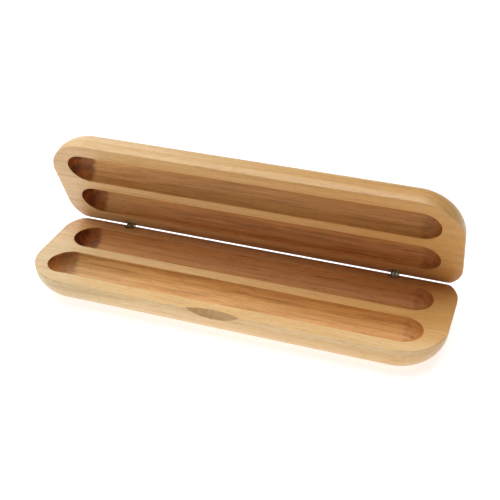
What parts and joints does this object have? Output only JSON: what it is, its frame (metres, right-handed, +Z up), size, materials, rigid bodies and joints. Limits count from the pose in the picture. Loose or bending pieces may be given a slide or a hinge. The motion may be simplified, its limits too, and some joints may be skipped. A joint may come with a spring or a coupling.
{
  "type": "fountain pen case",
  "caption": "Hinged wooden case whose halves hold fountain pens in round-bottomed grooves and close face to face.",
  "frame": {"origin": "centre of the flat underside of the base, on the surface the case stands on", "axes": "+X along the case, +Y towards the hinges, +Z up; the lid stands open at 65 degrees"},
  "size_m": [0.175, 0.0634, 0.0616],
  "materials": {
    "wood": "clear satin lacquer over pale straight-grained hardwood",
    "brass": "dull antique brass",
    "steel": "plain drawn wire",
    "nickel": "nickel plate, hidden"
  },
  "bodies": {
    "base": {"base_wood": "wood", "base_barrel_left": "brass", "base_pin_left": "steel", "base_plug_left": "wood", "base_magnet_left": "nickel", "base_barrel_right": "brass", "base_pin_right": "steel", "base_plug_right": "wood", "base_magnet_right": "nickel"},
    "links": {"link_left_1": "brass", "link_left_2": "brass", "link_left_3": "brass", "link_right_1": "brass", "link_right_2": "brass", "link_right_3": "brass"},
    "lid": {"lid_wood": "wood", "lid_barrel_left": "brass", "lid_pin_left": "steel", "lid_plug_left": "wood", "lid_magnet_left": "nickel", "lid_barrel_right": "brass", "lid_pin_right": "steel", "lid_plug_right": "wood", "lid_magnet_right": "nickel"}
  },
  "joints": [
    {"name": "link_swing", "type": "hinge", "parent": "base", "child": "links", "pos_m": [0, 0.0234, 0.0122], "axis": [-1, 0, 0], "range_deg": [-32.5, 9.5]},
    {"name": "lid_swing", "type": "hinge", "parent": "links", "child": "lid", "pos_m": [0, 0.02501, 0.01473], "axis": [-1, 0, 0], "range_deg": [-32.5, 9.5]}
  ],
  "couplings": [
    {"joint": "link_swing", "follows": "lid_swing", "ratio": 1}
  ]
}
